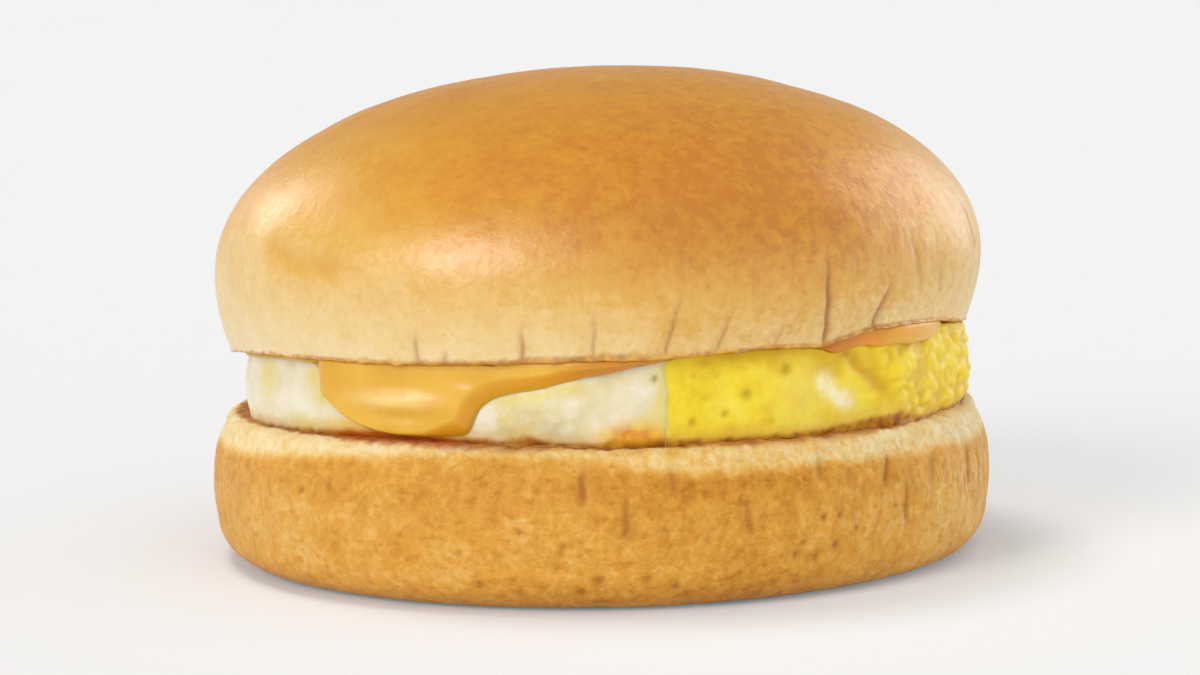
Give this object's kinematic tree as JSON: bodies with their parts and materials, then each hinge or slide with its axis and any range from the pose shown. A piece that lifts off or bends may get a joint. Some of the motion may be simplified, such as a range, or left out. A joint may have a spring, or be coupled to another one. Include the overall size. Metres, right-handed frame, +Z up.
{
  "type": "egg and cheese breakfast sandwich",
  "caption": "Round soft bun cut in two round a ring-cooked egg with a broken yolk and a melted cheese slice whose corner has run down over the egg's side.",
  "frame": {"origin": "middle of the flat face under the bun's heel, on which the sandwich stands", "axes": "+Z up through the layers; -Y is the front, where the cheese has run down at the left; +X is the right seen from the front"},
  "size_m": [0.0997, 0.1003, 0.0616],
  "materials": {
    "heel_crust": "matt fine-grained golden crust, pale at the cut edge",
    "egg_white": "satin moist cooked white",
    "egg_yolk": "satin grainy cooked yolk",
    "melted_cheese": "smooth soft gloss of melted processed cheese",
    "crown_crust": "smooth baked crust with a soft sheen, golden on top and pale below"
  },
  "bodies": {
    "root": {"bun_heel": "heel_crust", "egg_white": "egg_white", "egg_yolk": "egg_yolk", "cheese_slice": "melted_cheese", "bun_crown": "crown_crust"}
  },
  "joints": []
}
